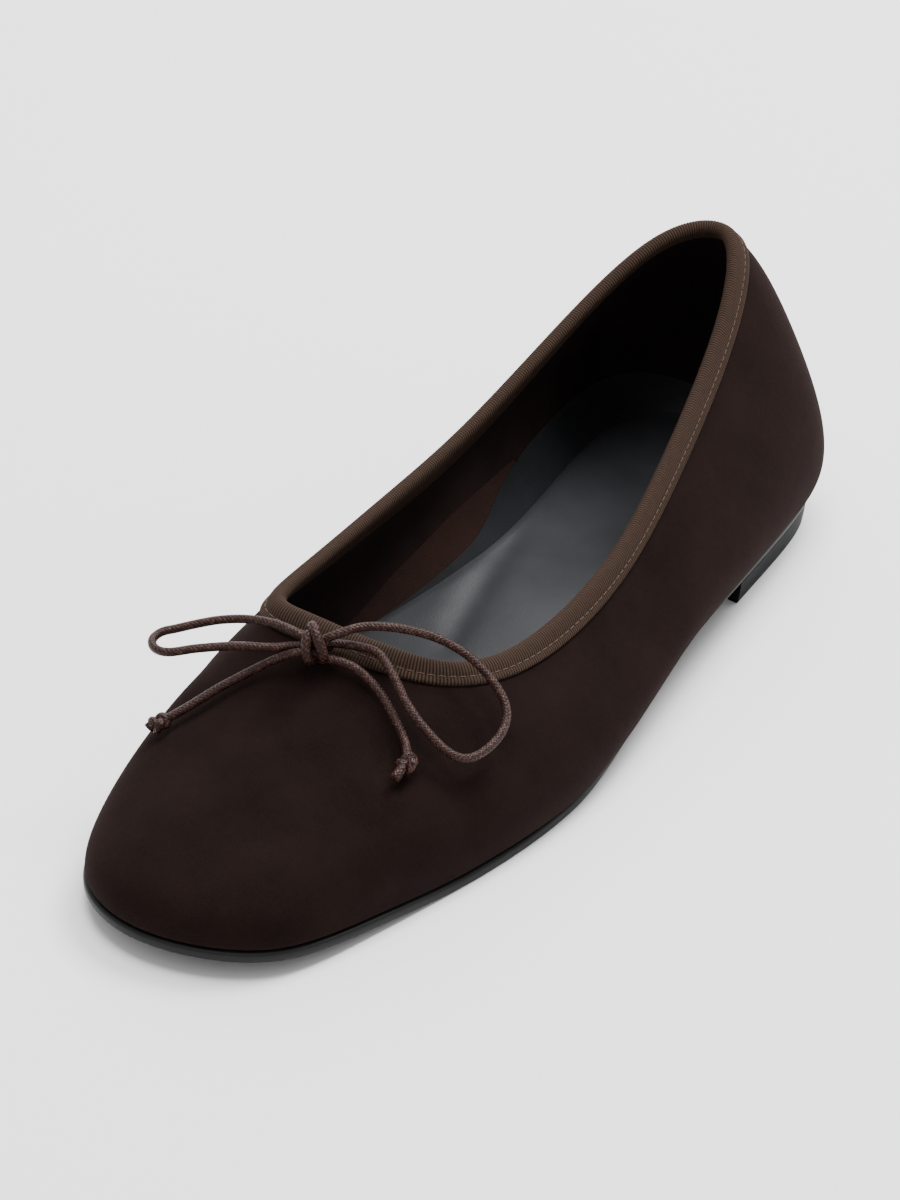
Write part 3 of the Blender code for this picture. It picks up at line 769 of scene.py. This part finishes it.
# Dark skin: black lining at the heel; from the quarters round to the front it is painted shade
# under the collar, its lower edge drawn where that shade ends
LINING_AND_PAINTED_SHADE = {
    "outer front": (0.100, 0.10, 1.0),
    "outer ball": (0.245, 0.10, 1.0),
    "outer waist": (0.270, 0.27, 1.0),
    "outer quarter": (0.300, 0.40, 1.0),
    "outer quarter back": (0.340, 0.39, 1.0),
    "outer heel": (0.352, 0.02, 1.0),
    "inner heel": (0.648, 0.02, 1.0),
    "inner quarter back": (0.658, 0.37, 1.0),
    "inner quarter": (0.688, 0.41, 1.0),
    "inner waist": (0.725, 0.28, 1.0),
    "inner ball": (0.752, 0.11, 1.0),
    "inner front": (0.900, 0.10, 1.0),
}
SOCK_EDGE = {
    "outer ball": (0.250, 0.00, 0.02),
    "outer waist": (0.311, 0.00, 0.12),
    "outer quarter": (0.352, 0.00, 0.34),
    "outer heel": (0.430, 0.00, 0.26),
    "heel": (0.500, 0.00, 0.14),
    "inner heel": (0.570, 0.00, 0.26),
    "inner quarter back": (0.648, 0.00, 0.36),
    "inner quarter": (0.664, 0.00, 0.31),
    "inner waist": (0.689, 0.00, 0.12),
    "inner ball": (0.750, 0.00, 0.02),
}


def inner_skin(name, marks, lift, material):
    """Thin skin just inside the wall, its lower and upper edge as in the table."""
    wide = len(outside[0])
    lows = [(place, low) for place, low, high in marks.values()]
    highs = [(place, high) for place, low, high in marks.values()]
    start, end = round(lows[0][0] * wide), round(lows[-1][0] * wide)
    wall = inside[ROUND + 1:] - normals[ROUND + 1:] * lift
    heights = np.arange(len(wall))
    columns = []
    for j in range(start, end + 1):
        low, high = float(eased(lows, j / wide)), float(eased(highs, j / wide))
        levels = (low + (high - low) * np.linspace(0, 1, SKIN_STEPS)) * heights[-1]
        columns.append(np.stack([np.interp(levels, heights, wall[:, j, k]) for k in range(3)], 1))
    grid = np.array(columns) + SHIFT
    faces = []
    for i in range(len(grid) - 1):
        for k in range(SKIN_STEPS - 1):
            near = i * SKIN_STEPS + k
            far = near + SKIN_STEPS
            faces.append([near, near + 1, far + 1, far])
    mesh = bpy.data.meshes.new(name)
    mesh.from_pydata(grid.reshape(-1, 3).tolist(), [], faces)
    mesh.shade_smooth()
    thing = add_object(name, mesh, material)
    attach(thing, "root")


inner_skin("suede_flesh", FLESH_SIDE, FLESH_LIFT, flesh)
# Black lining at the heel and painted shade under the collar further forward
inner_skin("quarter_lining_and_painted_shade", LINING_AND_PAINTED_SHADE, LINING_AND_SHADE_LIFT, lining_and_shade_paint)
inner_skin("sock_edge", SOCK_EDGE, SOCK_EDGE_LIFT, sock)

# Tape round the collar: distance down from the cut edge, lift off the wall, and 1 on its outside
# or -1 on its inside
TAPE_PROFILE = {
    "edge base": (TAPE_OUTSIDE, 0.00032, 1),
    "edge": (TAPE_OUTSIDE + 0.0001, 0.00060, 1),
    "edge front": (TAPE_OUTSIDE - 0.0003, 0.00086, 1),
    "border": (0.0037, 0.00092, 1),
    "seam low": (SEAM_DOWN + 0.0004, 0.00088, 1),
    "seam": (SEAM_DOWN, 0.00068, 1),
    "seam high": (SEAM_DOWN - 0.0004, 0.00090, 1),
    "channel low": (0.0017, 0.00112, 1),
    "channel": (0.0010, 0.00122, 1),
    "channel high": (0.0002, 0.00118, 1),
    "shoulder": (-0.0006, 0.00092, 1),
    "top outer": (-0.0012, 0.00040, 1),
    "crest": (-0.0015, -0.00070, 1),
    "top inner": (-0.0012, -0.0017, 1),
    "shoulder in": (-0.0005, 0.00080, -1),
    "channel in": (0.0006, 0.00100, -1),
    "channel in low": (0.0020, 0.00096, -1),
    "border in": (0.0034, 0.00092, -1),
    "edge in front": (TAPE_INSIDE - 0.0003, 0.00086, -1),
    "edge in": (TAPE_INSIDE, 0.00060, -1),
    "edge in base": (TAPE_INSIDE, 0.00032, -1),
}
PROBE = 0.001             # step off the wall that shows which way it faces


def tape_ring(rows, skin, distance, lift, face, spots):
    """Ring at a distance down the wall and lifted off it, or above the cut edge."""
    top = rows[-1]
    climb = unit(rows[-1] - rows[-2])
    if distance <= 0:
        return top - climb * distance + skin[-1] * lift * face
    from_throat = np.minimum(spots % 1, 1 - spots % 1)
    distance = distance * (1 + THROAT_WIDER * np.exp(-(from_throat / THROAT_SPREAD)**2))
    spot = along_rows(rows, distance)
    away = unit(along_rows(rows + skin * PROBE, distance) - spot)
    return spot + away * lift * face


collar_length = even_collar(1)[1]
ribs = round(collar_length / RIB)
places = even_collar(ribs * RIB_COLUMNS)[0]
tape_out, tape_skin = upper_grid(places, TAPE_STEPS, TAPE_ROUND)
tape_in = tape_out - tape_skin * WALL
tape_middle = tape_out[-1] - tape_skin[-1] * WALL / 2
tape_rings = []
rib_wave = np.cos(2 * math.pi * np.arange(ribs * RIB_COLUMNS) / RIB_COLUMNS)
for spot, (distance, lift, face) in TAPE_PROFILE.items():
    rows = tape_out if face > 0 else tape_in
    ring = tape_ring(rows, tape_skin, distance, lift, face, places)
    depth = 0.0 if "base" in spot else RIB_DEPTH
    away = unit(ring - tape_middle) if distance <= 0 else tape_skin[-1] * face
    tape_rings.append(ring + away * (rib_wave * depth)[:, None])
binding = right_way(grid_mesh("collar_tape", tape_rings, tape,
                              lambda i, j: (j / RIB_COLUMNS, i / len(TAPE_PROFILE))))
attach(binding, "root")
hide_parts("collar_binding")


def seam_stitches():
    """Single stitches along the seam, each one sunk in the tape at both ends."""
    count = round(collar_length / STITCH)
    lift = np.array([-0.00022, 0.00004, 0.00011, 0.00011, 0.00004, -0.00022])
    each = len(lift)
    spots = even_collar(count * each)[0]
    rows, skin = upper_grid(spots, TAPE_STEPS, TAPE_ROUND)
    line = tape_ring(rows, skin, SEAM_DOWN, SEAM_LIFT, 1, spots)
    away = unit(line - tape_ring(rows, skin, SEAM_DOWN, 0.0, 1, spots))
    parts = []
    for start in range(0, count * each, each):
        stitch = slice(start, start + each)
        parts.append(tube(line[stitch] + away[stitch] * lift[:, None], THREAD, 6))
    return joined("tape_seam", parts, thread)


seam = seam_stitches()
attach(seam, "root")


# Sole, heel and sock
def walled(rings):
    """New bmesh with a wall through rings, and the rings' vertices."""
    bm = bmesh.new()
    loops = [[bm.verts.new(p) for p in ring] for ring in rings]
    for a, b in zip(loops, loops[1:]):
        for i in range(len(a)):
            j = (i + 1) % len(a)
            bm.faces.new((a[i], a[j], b[j], b[i]))
    return bm, loops


def closed_object(name, bm, sharp, material):
    """Object of a closed bmesh, smooth up to an angle in degrees."""
    bmesh.ops.recalc_face_normals(bm, faces=bm.faces)
    mesh = bpy.data.meshes.new(name)
    bm.to_mesh(mesh)
    bm.free()
    mesh.shade_smooth()
    mesh.set_sharp_from_angle(angle=math.radians(sharp))
    return add_object(name, mesh, material)


def ladder_mesh(name, rings, caps, across, material):
    """Closed body from rings; each end is filled across the foot, at its cap's heights."""
    bm, loops = walled(rings)
    for loop, height in zip((loops[0], loops[-1]), caps):
        half = len(loop) // 2
        before = [loop[0]]
        for i in range(1, half + 1):
            if i == half:
                row = [loop[half]]
            else:
                left, right = loop[i], loop[-i]
                row = [left]
                for k in range(1, across):
                    share = k / across
                    point = left.co.lerp(right.co, share)
                    point.z = height(point, share)
                    row.append(bm.verts.new(point))
                row.append(right)
            if len(before) == 1:
                for k in range(len(row) - 1):
                    bm.faces.new((before[0], row[k + 1], row[k]))
            elif len(row) == 1:
                for k in range(len(before) - 1):
                    bm.faces.new((row[0], before[k], before[k + 1]))
            else:
                for k in range(len(row) - 1):
                    bm.faces.new((before[k], before[k + 1], row[k + 1], row[k]))
            before = row
    for vert in bm.verts:
        vert.co += Vector(SHIFT)
    return closed_object(name, bm, 50, material)


foot, side = feather(even_places(COLUMNS))
edge = sole_edge(foot, side)

# Rings of the sole from the middle of its top round its edge: inset, distance below its top
SOLE_RINGS = [
    (0.0022, -0.0001), (0.0016, -0.0003), (0.0010, -0.0003), (EDGE_ROUND, -EDGE_BREAK),
    (EDGE_ROUND * 0.4, EDGE_BREAK), (0, EDGE_ROUND), (0, SOLE_THICK / 2),
    (0, SOLE_THICK - EDGE_ROUND), (EDGE_ROUND * 0.4, SOLE_THICK - EDGE_BREAK),
    (EDGE_ROUND * 1.2, SOLE_THICK),
]


def sole_ring(inset, down):
    ring = drop(edge - side * inset, 0)
    ring[:, 2] -= down
    return ring


sole = ladder_mesh("outsole_leather", [sole_ring(*row) for row in SOLE_RINGS],
                   [lambda point, share: float(sole_top(-point.y)),
                    lambda point, share: float(sole_under(-point.y))], SOLE_ACROSS, sole_black)
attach(sole, "root")
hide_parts("outsole")


def heel_block():
    """Block under the heel's seat, with a hollow breast and tapering sides."""
    count = len(foot)
    half = count // 2
    depth = -foot[:, 1]
    rest = edge - side * GAP

    def flank(step):
        chain = [half]
        while depth[(chain[-1] + step) % count] < HEEL_LENGTH:
            chain.append((chain[-1] + step) % count)
        return chain

    outer, inner = flank(-1), flank(1)

    def rim(inset, height):
        left = rest[outer] - side[outer] * inset
        right = rest[inner] - side[inner] * inset
        across = np.linspace(0, 1, BREAST_STEPS + 1)[1:-1, None]
        breast = left[-1] * (1 - across) + right[-1] * across
        breast[:, 1] += BREAST_HOLLOW * (1 - (2 * across[:, 0] - 1)**2)
        ring = np.concatenate([left, breast, right[:0:-1]])
        ring[:, 2] = height(ring)
        return ring

    levels = [rim(0, lambda r: sole_under(-r[:, 1]) - GAP)]
    for share in (0.66, 0.33):
        levels.append(rim(HEEL_TAPER * (1 - share),
                          lambda r, s=share: (sole_under(-r[:, 1]) - GAP) * s))
    levels += [rim(HEEL_TAPER, lambda r: 0 * r[:, 0] + EDGE_ROUND),
               rim(HEEL_TAPER + EDGE_ROUND * 0.3, lambda r: 0 * r[:, 0] + EDGE_BREAK),
               rim(HEEL_TAPER + EDGE_ROUND, lambda r: 0 * r[:, 0])]
    bm, loops = walled([level + SHIFT for level in levels])
    bm.faces.new(loops[0])
    bm.faces.new(loops[-1][::-1])
    return closed_object("heel_leather", bm, 40, heel_black)


heel = heel_block()
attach(heel, "root")
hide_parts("heel")

# Folds of the sock in plan: out and along at both ends, half width, rise
SOCK_FOLDS = {
    "long trough": (-0.0100, 0.118, -0.0172, 0.081, 0.0032, -0.0006),
    "roll inside": (-0.0185, 0.112, -0.0240, 0.080, 0.0036, 0.0003),
    "ball crease": (0.0040, 0.128, -0.0060, 0.139, 0.0022, 0.0003),
}


def sock_pad():
    """Sock on the turned margin, with the plug that fills the space inside the margin."""
    seat = 2 * GAP + WALL
    wall = inside[1:ROUND + SOCK_WALL_ROWS]

    def wall_ring(height, inset):
        points = np.empty_like(foot)
        for j in range(len(foot)):
            line = wall[:, j]
            above = line[:, 2] - sole_top(-line[:, 1])
            for k in range(3):
                points[j, k] = np.interp(height, above, line[:, k])
        return drop(points - side * inset, height)

    def padding(point, share):
        hollow = 1 - abs(2 * share - 1)**3
        from_dip = (-point.y / LENGTH - SOCK_DIP_AT) / SOCK_DIP_SPREAD
        rise = -SOCK_DIP * math.exp(-from_dip**2) * hollow
        rise += float(fold_rise(np.array([point.x]), np.array([-point.y]), SOCK_FOLDS)[0])
        return float(sole_top(-point.y)) + seat + INSOLE_THICK - INSOLE_CUP * hollow + rise

    plug = FEATHER_ROUND + MARGIN + 2 * GAP
    rings = [drop(foot - side * plug, GAP), drop(foot - side * plug, seat),
             wall_ring(seat, GAP + EDGE_ROUND), wall_ring(seat + EDGE_ROUND, GAP),
             wall_ring(seat + INSOLE_THICK - EDGE_ROUND, GAP),
             wall_ring(seat + INSOLE_THICK - EDGE_BREAK, GAP + EDGE_ROUND * 0.5),
             wall_ring(seat + INSOLE_THICK, GAP + EDGE_ROUND * 1.4)]
    return ladder_mesh("sock_leather", rings,
                       [lambda point, share: float(sole_top(-point.y)) + GAP, padding],
                       SOCK_ACROSS, sock)


pad = sock_pad()
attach(pad, "root")
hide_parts("insole")

# Floor and light
FLOOR_HALF = 6
WORLD_LIGHT = 0.87
floor_corners = [(-FLOOR_HALF, -FLOOR_HALF, 0), (FLOOR_HALF, -FLOOR_HALF, 0),
                 (FLOOR_HALF, FLOOR_HALF, 0), (-FLOOR_HALF, FLOOR_HALF, 0)]
floor_mesh = bpy.data.meshes.new("floor")
floor_mesh.from_pydata(floor_corners, [], [(0, 1, 2, 3)])
floor_grey = paint("floor_grey", (0.88, 0.88, 0.88), 0.9, Specular_IOR_Level=0.1)[0]
floor = add_object("floor", floor_mesh, floor_grey)

world = bpy.data.worlds.new("studio")
world.use_nodes = True
background = world.node_tree.nodes["Background"]
background.inputs["Color"].default_value = (1.0, 1.0, 1.0, 1.0)
background.inputs["Strength"].default_value = WORLD_LIGHT
bpy.context.scene.world = world


def softbox(name, place, size, power):
    """Square lamp that faces the shoe."""
    data = bpy.data.lights.new(name, "AREA")
    data.shape = "SQUARE"
    data.size = size
    data.energy = power
    lamp = bpy.data.objects.new(name, data)
    bpy.context.scene.collection.objects.link(lamp)
    lamp.location = place
    lamp.rotation_euler = (Vector((0, 0, 0)) - Vector(place)).to_track_quat("-Z", "Y").to_euler()


softbox("key", (0.35, 0.95, 1.60), 0.7, 45.0)
softbox("window", (-0.95, 1.35, 1.10), 1.2, 18.0)
softbox("top", (0.0, 0.02, 2.0), 1.0, 42.0)
